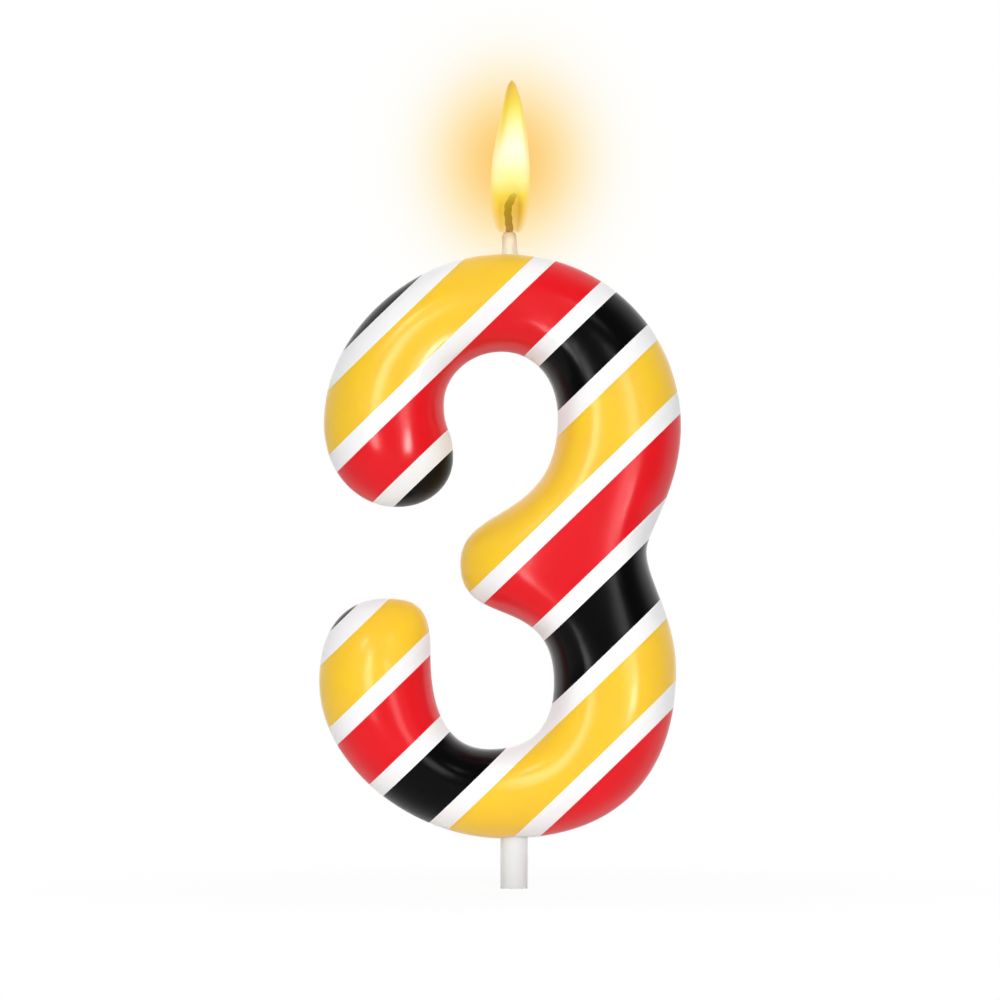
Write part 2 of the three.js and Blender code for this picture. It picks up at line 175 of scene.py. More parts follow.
# The outer run of each stretch of the stroke, and the inner runs across from it.
STRETCHES = [
    ("upper_tip", ["upper_neck", "upper_counter_left"]),
    ("upper_left", ["upper_counter_top"]),
    ("top", ["upper_counter_right"]),
    ("upper_right", ["arm_tip"]),
    ("waist", ["lower_counter_right"]),
    ("lower_right", ["lower_counter_floor"]),
    ("foot", ["lower_neck"]),
    ("lower_left", ["lower_tip"]),
]


def ladder():
    """Points all along the outer side of the stroke, and those across from them on the inner."""
    runs = outline_runs()
    outer, inner = [], []
    for number, (outer_name, inner_names) in enumerate(STRETCHES):
        t = np.linspace(0, 1, RUNGS + 1)[0 if number == 0 else 1:]
        outer.append(on_run(runs[outer_name], t))
        part = np.minimum((t * len(inner_names)).astype(int), len(inner_names) - 1)
        local = 1 - (t * len(inner_names) - part)
        across = np.zeros((len(t), 2))
        for k, name in enumerate(inner_names):
            chosen = part == k
            across[chosen] = on_run(runs[name], local[chosen])
        inner.append(across)
    return np.concatenate(outer), np.concatenate(inner)


def swelling(points, triangles, held):
    """How far a film, held at the rim and blown up from behind, stands out at each point."""
    a, b, c = (points[triangles[:, k]] for k in range(3))
    area = 0.5 * ((b[:, 0] - a[:, 0]) * (c[:, 1] - a[:, 1])
                  - (b[:, 1] - a[:, 1]) * (c[:, 0] - a[:, 0]))
    good = np.abs(area) > NO_AREA
    tri, area = triangles[good], np.abs(area[good])
    corners = [points[tri[:, k]] for k in range(3)]
    count = len(points)
    load = np.zeros(count)
    rows, cols, weights = [], [], []
    for k in range(3):
        i, j = (k + 1) % 3, (k + 2) % 3
        u, v = corners[i] - corners[k], corners[j] - corners[k]
        cotangent = (u * v).sum(1) / (2 * area)
        rows.append(tri[:, i])
        cols.append(tri[:, j])
        weights.append(0.5 * cotangent)
        load += np.bincount(tri[:, k], area / 3, count)
    rows, cols, weights = np.concatenate(rows), np.concatenate(cols), np.concatenate(weights)
    diagonal = np.bincount(rows, weights, count) + np.bincount(cols, weights, count)
    free = (~held) & (diagonal > 0)
    diagonal[~free] = 1.0

    def pull(x):
        """How hard the film pulls back at each point when it stands out by x."""
        there = np.bincount(rows, weights * x[cols], count)
        back = np.bincount(cols, weights * x[rows], count)
        return np.where(free, diagonal * x - there - back, 0.0)

    x = np.zeros(count)
    r = np.where(free, load, 0.0)
    z = r / diagonal
    p = z.copy()
    energy = r @ z
    target = FILM_PRECISION * energy
    for _ in range(FILM_STEPS):
        q = pull(p)
        step = energy / (p @ q)
        x += step * p
        r -= step * q
        z = r / diagonal
        after = r @ z
        if after < target:
            break
        p = z + (after / energy) * p
        energy = after
    return np.maximum(x, 0.0)


def skin():
    """The whole surface of the digit: points in millimetres, and faces that look outward."""
    outer, inner = ladder()
    rows, columns = len(outer), COLUMNS + 1
    across = (1 - np.cos(np.pi * np.arange(columns) / COLUMNS)) / 2
    flat = outer[:, None, :] + (inner - outer)[:, None, :] * across[None, :, None]
    index = np.arange(rows * columns).reshape(rows, columns)
    a, b = index[:-1, :-1].ravel(), index[:-1, 1:].ravel()
    c, d = index[1:, 1:].ravel(), index[1:, :-1].ravel()
    triangles = np.concatenate([np.stack([a, b, c], 1), np.stack([a, c, d], 1)])
    held = np.zeros((rows, columns), bool)
    held[:, 0] = held[:, -1] = held[0] = held[-1] = True
    film = swelling(flat.reshape(-1, 2), triangles, held.ravel())
    span = np.sqrt(2 * film)
    rise = np.zeros_like(span)
    up = span > NO_RISE
    rise[up] = (span[up] ** -SWELL_POWER + SWELL ** -SWELL_POWER) ** (-1 / SWELL_POWER)
    flat = flat.reshape(-1, 2)
    front = np.stack([flat[:, 0], -rise, flat[:, 1] + STICK_SHOWN], 1)
    back = front * [1, -1, 1]
    back_index = index + rows * columns
    back_index[:, 0], back_index[:, -1] = index[:, 0], index[:, -1]
    faces = np.stack([a, b, c, d], 1)
    e, f = back_index[:-1, :-1].ravel(), back_index[:-1, 1:].ravel()
    g, h = back_index[1:, 1:].ravel(), back_index[1:, :-1].ravel()
    faces = np.concatenate([faces, np.stack([h, g, f, e], 1)])
    return np.concatenate([front, back]), faces


def stripe_edges():
    """The distances of the stripes' edges from their origin, square to the stripes."""
    edges = [FIRST_STRIPE - STRIPE_GAP]
    start = FIRST_STRIPE
    for width in STRIPE_WIDTHS:
        edges += [start, start + width]
        start += width + STRIPE_GAP
    return edges + [start]


def cut_skin():
    """The skin with an edge loop along each stripe's edge."""
    points, faces = skin()
    bm = bmesh.new()
    verts = [bm.verts.new(p) for p in points]
    for face in faces:
        corners = []
        for i in face:
            if verts[i] not in corners:
                corners.append(verts[i])
        if len(corners) > 2:
            bm.faces.new(corners)
    bmesh.ops.remove_doubles(bm, verts=bm.verts, dist=SAME_POINT)
    bmesh.ops.dissolve_degenerate(bm, edges=bm.edges, dist=NO_EDGE)
    loose = [v for v in bm.verts if not v.link_faces]
    bmesh.ops.delete(bm, geom=loose, context="VERTS")
    normal = Vector((math.sin(STRIPE_RISE), 0, -math.cos(STRIPE_RISE)))
    origin = Vector((STRIPE_ORIGIN[0], 0, STRIPE_ORIGIN[1] + STICK_SHOWN))
    for distance in stripe_edges():
        bmesh.ops.bisect_plane(
            bm, geom=bm.verts[:] + bm.edges[:] + bm.faces[:], dist=SAME_POINT,
            plane_co=origin + distance * normal, plane_no=normal,
        )
    mouth = socket_mouth(bm)
    bm.normal_update()
    bmesh.ops.delete(bm, geom=mouth, context="FACES")
    return bm, origin, normal


def socket_mouth(bm):
    """Cut a round edge for the stick's socket into the foot, and return the faces inside it."""
    limit = STICK_SHOWN + MOUTH_REACH
    turn = 2 * math.pi / SOCKET_SIDES
    reach = SOCKET_RADIUS * math.tan(turn / 2) + MOUTH_MARGIN
    for side in range(SOCKET_SIDES):
        out = Vector((math.cos(side * turn), math.sin(side * turn), 0))
        along = Vector((-out.y, out.x, 0))
        touched = []
        for face in bm.faces:
            corners = [v.co for v in face.verts]
            if min(c.z for c in corners) > limit:
                continue
            far = [c.dot(out) for c in corners]
            beside = [c.dot(along) for c in corners]
            across = min(far) <= SOCKET_RADIUS <= max(far)
            if across and min(beside) <= reach and max(beside) >= -reach:
                touched.append(face)
        around = [vert for face in touched for vert in face.verts]
        around += [edge for face in touched for edge in face.edges]
        bmesh.ops.bisect_plane(
            bm, geom=list(dict.fromkeys(around)) + touched, dist=SAME_POINT,
            plane_co=out * SOCKET_RADIUS, plane_no=out,
        )
    inside = []
    for face in bm.faces:
        middle = face.calc_center_median()
        if middle.z < limit and middle.xy.length < SOCKET_RADIUS:
            inside.append(face)
    return inside


def unit(rows):
    """Each row as a direction of length 1."""
    return rows / np.linalg.norm(rows, axis=1)[:, None]


def shade_smooth(mesh):
    mesh.polygons.foreach_set("use_smooth", [True] * len(mesh.polygons))


def new_object(name, points, faces, material, normals=None):
    """A new smooth object from points in millimetres, with normals for face corners if given."""
    mesh = bpy.data.meshes.new(name)
    places = [tuple(point) for point in np.asarray(points) * MM]
    mesh.from_pydata(places, [], [tuple(int(i) for i in face) for face in faces])
    mesh.validate()
    shade_smooth(mesh)
    if normals is not None:
        mesh.normals_split_custom_set([tuple(normal) for normal in normals])
    mesh.update()
    mesh.materials.append(material)
    obj = bpy.data.objects.new(name, mesh)
    bpy.context.scene.collection.objects.link(obj)
    return obj


def at_corners(faces, normals):
    """The normal of each face corner, from the normals of the points."""
    return normals[[i for face in faces for i in face]]


def sides_of(polygons):
    """The sides of some polygons, each from corner to corner, in their order."""
    return dict.fromkeys(
        (i, j) for polygon in polygons for i, j in zip(polygon, polygon[1:] + polygon[:1]))


def closed_patch(faces, depth):
    """A closed layer under some faces of the skin: its points, faces and corner normals."""
    verts = list(dict.fromkeys(v for face in faces for v in face.verts))
    place = {v: i for i, v in enumerate(verts)}
    top = np.array([v.co[:] for v in verts])
    out = np.array([v.normal[:] for v in verts])
    count = len(verts)
    polygons = [[place[v] for v in face.verts] for face in faces]
    sides = sides_of(polygons)
    rim = [(i, j) for i, j in sides if (j, i) not in sides]
    under = [[i + count for i in reversed(polygon)] for polygon in polygons]
    walls = [[j, i, i + count, j + count] for i, j in rim]
    points = np.concatenate([top, top - out * depth])
    faces = polygons + under + walls
    return points, faces, at_corners(faces, np.concatenate([out, -out]))


def bands_of(bm, origin, normal):
    """The skin's faces by band: an even band is a stripe, an odd one is white."""
    edges = stripe_edges()
    groups = {}
    for face in bm.faces:
        distance = (face.calc_center_median() - origin).dot(normal)
        groups.setdefault(int(np.searchsorted(edges, distance)), []).append(face)
    return groups


def split_up(faces):
    """The connected pieces of some faces, from left to right."""
    left = set(faces)
    pieces = []
    for seed in faces:
        if seed not in left:
            continue
        left.remove(seed)
        piece, queue = [seed], [seed]
        while queue:
            face = queue.pop()
            for edge in face.edges:
                for other in edge.link_faces:
                    if other in left:
                        left.remove(other)
                        piece.append(other)
                        queue.append(other)
        pieces.append(piece)

    def middle(piece):
        xs = [v.co.x for face in piece for v in face.verts]
        return (min(xs) + max(xs)) / 2

    return sorted(pieces, key=middle)


# The wax: its roughness, that of its lacquer, and the scales of its cloudy colour and of its pores.
WAX_ROUGHNESS = 0.3
COAT_ROUGHNESS = 0.18
CLOUD_SCALE = 160.0
PORE_SCALE = 1400.0

# The wick and its coat: the scale of the fibres, and the heights in metres from which and to which
# the cotton chars and the coat browns.
FIBRE_SCALE = 5200.0
CHARRING = (0.0835, 0.0892)
BROWNING = (0.0815, 0.0842)

# The stick: the scale of its drawn lines, and their width as a share of their length.
DRAWN_SCALE = 2600.0
DRAWN_SHARE = 0.06

# The floor: a shadow shows inside the far radius, and most inside the near one, in metres. Even
# there the floor is plain white for this share.
SHADOW_RADII = (0.02, 0.09)
LEAST_PLAIN = 0.93


def linear(r, g, b):
    """A colour as the screen gives it, from 0 to 255, in the linear values of a shader."""
    def one(c):
        c /= 255
        return c / 12.92 if c <= 0.04045 else ((c + 0.055) / 1.055) ** 2.4
    return (one(r), one(g), one(b), 1.0)


class Nodes:
    """The node tree of a material or of the world, with short calls that add joined nodes."""

    def __init__(self, name, owners=bpy.data.materials, out="ShaderNodeOutputMaterial"):
        self.owned = owners.new(name)
        self.owned.use_nodes = True
        self.tree = self.owned.node_tree
        self.tree.nodes.clear()
        self.out = self.add(out)

    def add(self, kind, inputs=None, **settings):
        node = self.tree.nodes.new(kind)
        for key, value in settings.items():
            setattr(node, key, value)
        for key, value in (inputs or {}).items():
            socket = node.inputs[key]
            if isinstance(value, bpy.types.NodeSocket):
                self.tree.links.new(value, socket)
            else:
                socket.default_value = value
        return node

    def where(self):
        """The place on the object."""
        return self.add("ShaderNodeTexCoord").outputs["Object"]

    def noise(self, where, scale, detail, roughness=0.5):
        inputs = {"Vector": where, "Scale": scale, "Detail": detail, "Roughness": roughness}
        return self.add("ShaderNodeTexNoise", inputs).outputs["Fac"]

    def bump(self, height, strength, distance, normal=None):
        inputs = {"Height": height, "Strength": strength, "Distance": distance}
        if normal is not None:
            inputs["Normal"] = normal
        return self.add("ShaderNodeBump", inputs).outputs["Normal"]

    def ramp(self, factor, stops):
        node = self.add("ShaderNodeValToRGB", {"Fac": factor})
        elements = node.color_ramp.elements
        while len(elements) < len(stops):
            elements.new(0.5)
        for element, (position, colour) in zip(elements, stops):
            element.position = position
            element.color = colour
        return node.outputs["Color"]

    def greys(self, factor, stops):
        """A ramp of plain numbers."""
        return self.ramp(factor, [(position, (grey, grey, grey, 1.0)) for position, grey in stops])

    def mapped(self, value, start, end, low=0.0, high=1.0, way="LINEAR"):
        """From low to high, while the value goes from start to end."""
        inputs = {"Value": value, "From Min": start, "From Max": end, "To Min": low, "To Max": high}
        return self.add("ShaderNodeMapRange", inputs, interpolation_type=way).outputs[0]

    def eased(self, value, start, end, low=0.0, high=1.0):
        """The same, with a soft start and end."""
        return self.mapped(value, start, end, low, high, "SMOOTHSTEP")

    def maths(self, operation, a, b=0.0, clamp=False):
        node = self.add("ShaderNodeMath", {0: a, 1: b}, operation=operation, use_clamp=clamp)
        return node.outputs[0]

    def sum_of_squares(self, a, b):
        return self.maths("ADD", self.maths("MULTIPLY", a, a), self.maths("MULTIPLY", b, b))

    def length(self, a, b):
        """The length of the way with sides a and b."""
        return self.maths("SQRT", self.sum_of_squares(a, b))

    def blotched(self, value, noise, amount):
        """The value, moved up and down by a noise."""
        change = self.maths("MULTIPLY", self.maths("SUBTRACT", noise, 0.5), amount)
        return self.maths("ADD", value, change)

    def seen(self):
        """1 for the rays that show what is round the object: camera, glossy and transmission."""
        path = self.add("ShaderNodeLightPath").outputs
        mirrored = self.maths("MAXIMUM", path["Is Glossy Ray"], path["Is Transmission Ray"])
        return self.maths("MAXIMUM", path["Is Camera Ray"], mirrored)

    def finish(self, surface, volume=None):
        self.tree.links.new(surface.outputs[0], self.out.inputs["Surface"])
        if volume is not None:
            self.tree.links.new(volume.outputs[0], self.out.inputs["Volume"])
        return self.owned


def wax(name, colour, shade, coat_ior, sheen, sheen_roughness):
    """Lacquered wax: a little cloudy, with fine pores and a soft sheen at its rims."""
    n = Nodes(name)
    clouds = n.noise(n.where(), CLOUD_SCALE, 3.0, 0.55)
    wave = n.bump(clouds, 0.10, 0.0004)
    pores = n.bump(n.noise(n.where(), PORE_SCALE, 2.0), 0.05, 0.00004, wave)
    # The lacquer's gloss fades out where the surface is seen edge-on, by view angle: this keeps the
    # highlight strips from glaring at the rims and leaves the rims darker.
    facing = n.add("ShaderNodeLayerWeight", {"Blend": 0.5}).outputs["Facing"]
    return n.finish(n.add("ShaderNodeBsdfPrincipled", {
        "Base Color": n.ramp(clouds, [(0.3, shade), (0.62, colour)]),
        "Roughness": n.mapped(clouds, 0.3, 0.7, WAX_ROUGHNESS - 0.03, WAX_ROUGHNESS + 0.05),
        "Normal": pores, "Specular IOR Level": 0.0,
        "Coat Weight": n.eased(facing, 0.4, 0.78, 1.0, 0.0), "Coat Roughness": COAT_ROUGHNESS,
        "Coat IOR": coat_ior, "Coat Normal": wave,
        "Subsurface Weight": 0.08, "Subsurface Scale": 0.0006,
        "Sheen Weight": sheen, "Sheen Roughness": sheen_roughness,
    }))


def cotton_material():
    """Braided cotton that is waxed low down and charred higher up."""
    n = Nodes("charred_cotton")
    where = n.where()
    height = n.add("ShaderNodeSeparateXYZ", {"Vector": where}).outputs["Z"]
    fibres = n.noise(where, FIBRE_SCALE, 4.0, 0.65)
    charred = n.blotched(n.mapped(height, *CHARRING), n.noise(where, 1500.0, 2.0), 0.35)
    colour = n.ramp(charred, [
        (0.0, linear(206, 190, 150)), (0.25, linear(120, 86, 38)), (0.5, linear(44, 22, 2)),
        (0.8, linear(24, 10, 0)), (1.0, linear(40, 16, 0)),
    ])
    speckle = n.add("ShaderNodeMixRGB", {
        "Fac": 0.45, "Color1": colour, "Color2": n.greys(fibres, [(0.35, 0.2), (0.65, 1.0)]),
    }, blend_type="MULTIPLY")
    return n.finish(n.add("ShaderNodeBsdfPrincipled", {
        "Base Color": speckle.outputs[0], "Roughness": 0.85, "Normal": n.bump(fibres, 0.7, 0.00006),
        "Sheen Weight": 0.15, "Specular IOR Level": 0.25,
    }))


def coat_material():
    """Thin white wax on the wick, a little browned toward the flame."""
    n = Nodes("wick_wax_skin")
    where = n.where()
    height = n.add("ShaderNodeSeparateXYZ", {"Vector": where}).outputs["Z"]
    drips = n.noise(where, 900.0, 3.0)
    browned = n.blotched(n.mapped(height, *BROWNING), drips, 0.5)
    colour = n.ramp(browned, [
        (0.1, linear(248, 236, 214)), (0.6, linear(246, 229, 198)), (0.95, linear(226, 196, 144)),
    ])
    return n.finish(n.add("ShaderNodeBsdfPrincipled", {
        "Base Color": colour, "Roughness": 0.45, "Normal": n.bump(drips, 0.3, 0.00012),
        "Subsurface Weight": 0.3, "Subsurface Scale": 0.0008, "Specular IOR Level": 0.3,
    }))


def stick_material():
    """Milky plastic, drawn out lengthwise."""
    n = Nodes("milky_plastic")
    stretch = n.add("ShaderNodeMapping", {"Vector": n.where(), "Scale": (1.0, 1.0, DRAWN_SHARE)})
    drawn = n.noise(stretch.outputs[0], DRAWN_SCALE, 2.0)
    colour = n.ramp(drawn, [(0.3, linear(247, 248, 249)), (0.7, linear(253, 254, 254))])
    return n.finish(n.add("ShaderNodeBsdfPrincipled", {
        "Base Color": colour, "Roughness": 0.32, "Normal": n.bump(drawn, 0.12, 0.00003),
        "Transmission Weight": 0.3, "IOR": 1.35,
    }))


# The flame: its foot and tip, how far right of its middle it is brightest, and its glow's density.
FLAME_FOOT = 84.0
FLAME_TIP = 103.66
CORE_SHIFT = 0.2
FLAME_DENSITY = 3400.0

# Its middle line, which leans right as it rises, and its half width, by height.
FLAME_ROWS = [
    # height, middle x, half width
    (84.10, -0.53, 1.30),
    (84.45, -0.57, 1.62),
    (85.35, -0.56, 2.01),
    (86.65, -0.56, 2.33),
    (88.35, -0.52, 2.53),
    (90.00, -0.49, 2.53),
    (92.45, -0.43, 2.45),
    (94.85, -0.36, 2.20),
    (97.15, -0.24, 1.84),
    (99.20, -0.19, 1.47),
    (100.85, -0.19, 1.14),
    (102.35, -0.26, 0.74),
    (103.20, -0.26, 0.42),
    (FLAME_TIP, -0.26, 0.0),
]

# A curve node holds values from 0 to 1, so lengths are held as shares of a span, shifted up.
CURVE_SPAN = 3.0
CURVE_SHIFT = 1.0
LEAST_HALF_WIDTH = 0.08


def flame_material():
    """Burning gas that glows through its depth, in a faint glowing skin."""
    n = Nodes("flame_glow")
    split = n.add("ShaderNodeSeparateXYZ", {"Vector": n.where()}).outputs
    height = n.mapped(split["Z"], FLAME_FOOT * MM, FLAME_TIP * MM)

    def curve(values):
        node = n.add("ShaderNodeFloatCurve", {"Value": height})
        points = node.mapping.curves[0].points
        while len(points) < len(values):
            points.new(0.5, 0.5)
        for point, row, value in zip(points, FLAME_ROWS, values):
            share = (row[0] - FLAME_FOOT) / (FLAME_TIP - FLAME_FOOT)
            point.location = (min(max(share, 0.0), 1.0), value / CURVE_SPAN)
        node.mapping.update()
        return n.maths("MULTIPLY", node.outputs[0], CURVE_SPAN * MM)

    shifted = curve([row[1] + CURVE_SHIFT for row in FLAME_ROWS])
    middle = n.maths("SUBTRACT", shifted, CURVE_SHIFT * MM)
    half = curve([max(row[2], LEAST_HALF_WIDTH) for row in FLAME_ROWS])
    sideways = n.maths("SUBTRACT", split["X"], middle)
    share = n.maths("DIVIDE", n.length(sideways, split["Y"]), half, clamp=True)
    # The brightest part lies a little right of the middle.
    off = n.maths("SUBTRACT", sideways, CORE_SHIFT * MM)
    core_share = n.maths("DIVIDE", n.length(off, split["Y"]), half, clamp=True)
    core = n.ramp(height, [
        (0.00, linear(226, 180, 84)), (0.14, linear(180, 104, 0)), (0.24, linear(196, 116, 0)),
        (0.34, linear(250, 222, 78)), (0.45, linear(254, 250, 190)), (0.56, linear(255, 254, 245)),
        (0.66, linear(255, 253, 226)), (0.765, linear(255, 253, 161)), (0.87, linear(251, 232, 95)),
        (0.975, linear(240, 190, 80)),
    ])
    edge = n.ramp(height, [
        (0.00, linear(242, 192, 76)), (0.14, linear(250, 200, 44)), (0.24, linear(254, 222, 70)),
        (0.34, linear(255, 252, 165)), (0.45, linear(255, 252, 200)), (0.56, linear(254, 242, 175)),
        (0.66, linear(248, 222, 100)), (0.765, linear(244, 214, 74)), (0.87, linear(236, 200, 62)),
        (0.975, linear(226, 172, 70)),
    ])
    # Round the wick the middle is dark, just above the wick it narrows, and higher up it is bright.
    start = n.greys(height, [(0.0, 0.4), (0.19, 0.38), (0.28, 0.12), (0.34, 0.2), (0.44, 0.45)])
    blend = n.eased(core_share, start, n.maths("ADD", start, 0.42))
    power = n.greys(height, [(0.0, 0.9), (0.24, 1.0), (0.42, 1.5), (0.66, 1.4), (0.85, 1.1)])
    hot = n.add("ShaderNodeMixRGB", {
        "Fac": 1.0, "Color1": core, "Color2": power,
    }, blend_type="MULTIPLY")
    colour = n.add("ShaderNodeMixRGB", {"Fac": blend, "Color1": hot.outputs[0], "Color2": edge})
    thick = n.greys(height, [(0.0, 0.22), (0.2, 0.23), (0.34, 0.42), (0.7, 0.5), (1.0, 1.0)])
    fade = n.eased(share, 0.6, 1.0, 1.0, 0.15)
    density = n.maths("MULTIPLY", fade, n.maths("MULTIPLY", thick, FLAME_DENSITY))
    swallow = n.add("ShaderNodeVolumeAbsorption", {
        "Color": (0.0, 0.0, 0.0, 1.0), "Density": density,
    })
    glow = n.add("ShaderNodeEmission", {"Color": colour.outputs[0], "Strength": density})
    inside = n.add("ShaderNodeAddShader", {0: swallow.outputs[0], 1: glow.outputs[0]})
    skin_colour = n.ramp(height, [
        (0.0, linear(240, 186, 70)), (0.2, linear(252, 206, 54)), (0.34, linear(255, 244, 130)),
        (0.5, linear(255, 252, 196)), (0.66, linear(255, 246, 156)), (0.82, linear(248, 220, 84)),
        (1.0, linear(234, 184, 78)),
    ])
    cover = n.greys(height, [(0.0, 0.07), (0.24, 0.07), (0.42, 0.28), (0.8, 0.28), (1.0, 0.4)])
    veil = n.add("ShaderNodeBsdfPrincipled", {
        "Base Color": (0.0, 0.0, 0.0, 1.0), "Roughness": 1.0, "Specular IOR Level": 0.0,
        "Alpha": cover, "Emission Color": skin_colour, "Emission Strength": 1.0,
    })
    material = n.finish(veil, inside)
    material.cycles.volume_step_rate = 0.12
    return material


def floor_material():
    """A pale floor that shows white, and takes a soft shadow close to the stick."""
    n = Nodes("pale_floor")
    where = n.where()
    matte = n.add("ShaderNodeBsdfDiffuse", {
        "Color": n.greys(n.noise(where, 30.0, 2.0), [(0.3, 0.83), (0.7, 0.85)]),
    })
    plain = n.add("ShaderNodeEmission", {"Color": (1, 1, 1, 1), "Strength": 1.0})
    away = n.add("ShaderNodeVectorMath", {0: where}, operation="LENGTH").outputs["Value"]
    share = n.maths("MULTIPLY", n.seen(), n.eased(away, *SHADOW_RADII, LEAST_PLAIN, 1.0))
    return n.finish(n.add("ShaderNodeMixShader", {
        "Fac": share, 1: matte.outputs[0], 2: plain.outputs[0],
    }))


# Each wax: its colour where it is clear and where it is cloudy, the lacquer's index, and the sheen.
COLOURS = {
    "yellow": wax(
        "yellow_lacquered_wax", linear(254, 206, 48), linear(252, 201, 56), 1.28, 1.0, 0.35),
    "red": wax("red_lacquered_wax", linear(236, 23, 34), linear(230, 22, 31), 1.25, 0.7, 0.35),
    "black": wax("black_lacquered_wax", linear(2, 2, 3), linear(1, 1, 1), 1.18, 1.0, 0.32),
}
WHITE_WAX = wax(
    "white_lacquered_wax", linear(253, 252, 252), linear(250, 249, 251), 1.28, 0.5, 0.35)

PLACES = {1: [""], 2: ["_left", "_right"], 3: ["_left", "_middle", "_right"]}


def body_surface(bm, groups):
    """The white body in one closed surface: bands, a recess under each stripe, and the socket."""
    stripes = set()
    for number in range(0, 2 * len(STRIPE_COLOURS), 2):
        stripes.update(groups[number])
    count = len(bm.verts)
    place = np.array([v.co[:] for v in bm.verts])
    out = np.array([v.normal[:] for v in bm.verts])
    faces = []
    for face in bm.faces:
        sunk = count if face in stripes else 0
        faces.append([v.index + sunk for v in face.verts])
        if sunk:
            continue
        for loop in face.loops:
            if any(other in stripes for other in loop.edge.link_faces):
                i, j = loop.vert.index, loop.link_loop_next.vert.index
                faces.append([j, i, i + count, j + count])
    points = np.concatenate([place, place - out * CORE_INSET])
    normals = at_corners(faces, np.concatenate([out, out]))
    points, faces, normals = with_socket(points, faces, normals)
    used = np.unique([i for face in faces for i in face])
    renumbered = np.zeros(len(points), int)
    renumbered[used] = np.arange(len(used))
    return points[used], [[renumbered[i] for i in face] for face in faces], normals


def with_socket(points, faces, normals):
    """The same surface with the stick's socket, which goes up from the open rim at the foot."""
    sides = sides_of(faces)
    onward = {j: i for i, j in sides if (j, i) not in sides}
    start = min(onward)
    rim = [start]
    while onward[rim[-1]] != start:
        rim.append(onward[rim[-1]])
    top = [len(points) + k for k in range(len(rim))]
    inward = unit(-points[rim] * [1, 1, 0])
    bore = []
    for k, j in enumerate(rim):
        after = (k + 1) % len(rim)
        bore.append([j, rim[after], top[after], top[k]])
        normals = np.concatenate([normals, inward[[k, after, after, k]]])
    normals = np.concatenate([normals, [[0, 0, -1]] * len(top)])
    points = np.concatenate([points, points[rim] * [1, 1, 0] + [0, 0, SOCKET_TOP]])
    return points, faces + bore + [top], normals


def build_digit():
    """The stripes, each a closed layer on the skin, and the white body under and between them."""
    bm, origin, normal = cut_skin()
    bm.verts.index_update()
    groups = bands_of(bm, origin, normal)
    for number, colour in enumerate(STRIPE_COLOURS):
        pieces = split_up(groups[2 * number])
        for piece, place in zip(pieces, PLACES[len(pieces)]):
            node = f"stripe_{number + 1}_{colour}{place}"
            points, faces, normals = closed_patch(piece, STRIPE_SKIN)
            obj = new_object(f"skin_{node}", points, faces, COLOURS[colour], normals)
            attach(obj, "candle")
            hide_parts(node)
    points, faces, normals = body_surface(bm, groups)
    body = new_object("wax_body_skin", points, faces, WHITE_WAX, normals)
    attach(body, "candle")
    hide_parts("wax_body")
    bm.free()


def square_to(path):
    """Two directions square to a path and to each other, at each of its points."""
    along = unit(np.gradient(path, axis=0))
    side = unit(np.cross(along, [0, 1, 0]))
    return side, np.cross(side, along)


def distances_along(rows):
    """How far along a line each of its points lies."""
    return np.concatenate([[0], np.cumsum(np.linalg.norm(np.diff(rows, axis=0), axis=1))])


def tube(path, radii, sides):
    """Points and faces of a round tube along a path."""
    side, other = square_to(path)
    turn = 2 * np.pi * np.arange(sides) / sides
    points = []
    for i, centre in enumerate(path):
        for angle in turn:
            out = math.cos(angle) * side[i] + math.sin(angle) * other[i]
            points.append(centre + radii[i] * out)
    faces = []
    for i in range(len(path) - 1):
        for k in range(sides):
            nxt = (k + 1) % sides
            low, high = i * sides, (i + 1) * sides
            faces.append([high + k, high + nxt, low + nxt, low + k])
    faces.append(list(range(sides)))
    faces.append([(len(path) - 1) * sides + k for k in range(sides)][::-1])
    return np.array(points), faces


# The wick's middle line: height and x, a slight S that curls right at the tip.
WICK_LINE = [
    (74.0, -0.60), (80.0, -0.60), (83.0, -0.58), (84.6, -0.60), (86.0, -0.74), (86.9, -0.80),
    (87.7, -0.66), (88.3, -0.36), (88.75, -0.05), (89.05, 0.18),
]

# Its braid: as many strands wind each way, each a little ragged, and all taper to the charred end.
WICK_STEPS = 150
STRANDS = 3
STRAND_RADIUS = 0.265
STRAND_SIDES = 10
BRAID_RADIUS = 0.25
BRAID_FLATNESS = 0.9
BRAID_PITCH = 3.4
TIP_LENGTH = 0.9
TIP_SHARE = 0.45
RAGGEDNESS = 0.06
RAGGED_WAVES = 9


def smooth_line(rows, steps):
    """A smooth line through the rows, by the distance along them."""
    rows = np.array(rows, float)
    gone = distances_along(rows)
    t = np.linspace(0, gone[-1], steps)
    slopes = np.gradient(rows, gone, axis=0)
    i = np.clip(np.searchsorted(gone, t, side="right") - 1, 0, len(rows) - 2)
    h = gone[i + 1] - gone[i]
    u = ((t - gone[i]) / h)[:, None]
    h = h[:, None]
    return (
        rows[i] * (1 + 2 * u) * (1 - u) ** 2 + h * slopes[i] * u * (1 - u) ** 2
        + rows[i + 1] * u * u * (3 - 2 * u) + h * slopes[i + 1] * u * u * (u - 1)
    )


